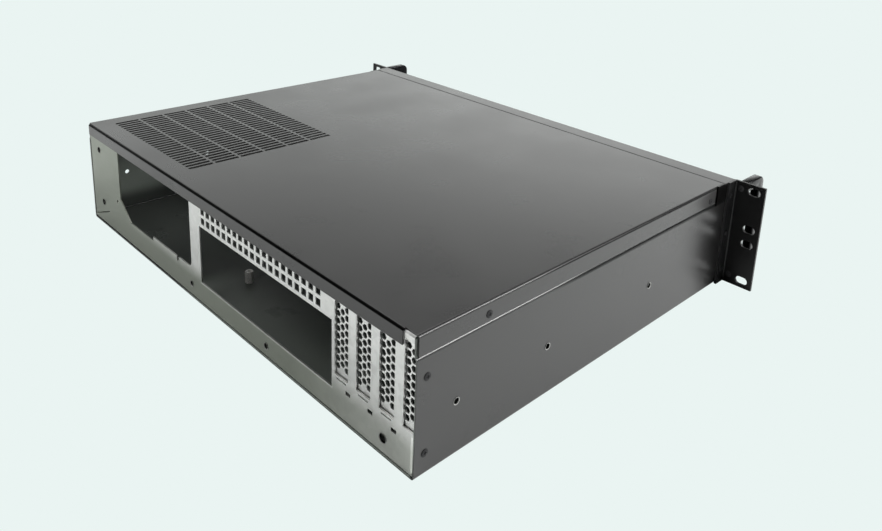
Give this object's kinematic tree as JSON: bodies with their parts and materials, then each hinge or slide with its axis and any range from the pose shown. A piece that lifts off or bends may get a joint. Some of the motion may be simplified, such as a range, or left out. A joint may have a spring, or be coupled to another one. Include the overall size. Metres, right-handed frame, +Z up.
{
  "type": "empty rackmount server case",
  "caption": "Two-unit rack case of folded steel: vented cover, rear panel with power, connector and card openings, slotted ears, bow handles.",
  "frame": {"origin": "middle of the body's footprint, on its underside", "axes": "+X across the case to the left as seen from behind, +Y towards the rear panel, +Z up"},
  "size_m": [0.4826, 0.3686, 0.088],
  "materials": {
    "black_paint": "satin",
    "galvanised_sheet": "satin",
    "handle_black": "satin",
    "brass": "satin",
    "black_plastic": "matte",
    "button_plastic": "satin",
    "board_green": "satin",
    "lens_plastic": "gloss",
    "socket_shell": "polished"
  },
  "bodies": {
    "case": {"rear_panel": "galvanised_sheet", "slot_cover_1": "galvanised_sheet", "slot_cover_2": "galvanised_sheet", "slot_cover_3": "galvanised_sheet", "slot_cover_4": "galvanised_sheet", "cross_bar": "galvanised_sheet", "drive_cage": "galvanised_sheet", "chassis_tray": "black_paint", "top_cover": "black_paint", "front_panel": "black_paint", "rack_ear_left": "black_paint", "rack_ear_right": "black_paint", "handle_left": "handle_black", "handle_right": "handle_black", "board_standoffs": "brass", "control_housing": "black_plastic", "control_board": "board_green", "button_switches": "black_plastic", "indicator_lenses": "lens_plastic", "usb_sockets": "socket_shell"},
    "power_button": {"power_button": "button_plastic"},
    "reset_button": {"reset_button": "button_plastic"}
  },
  "joints": [
    {"name": "power_button_press", "type": "slide", "parent": "case", "child": "power_button", "axis": [0, 1, 0], "range_m": [0, 0.0015], "stiffness_N_per_m": 200},
    {"name": "reset_button_press", "type": "slide", "parent": "case", "child": "reset_button", "axis": [0, 1, 0], "range_m": [0, 0.0015], "stiffness_N_per_m": 120}
  ]
}
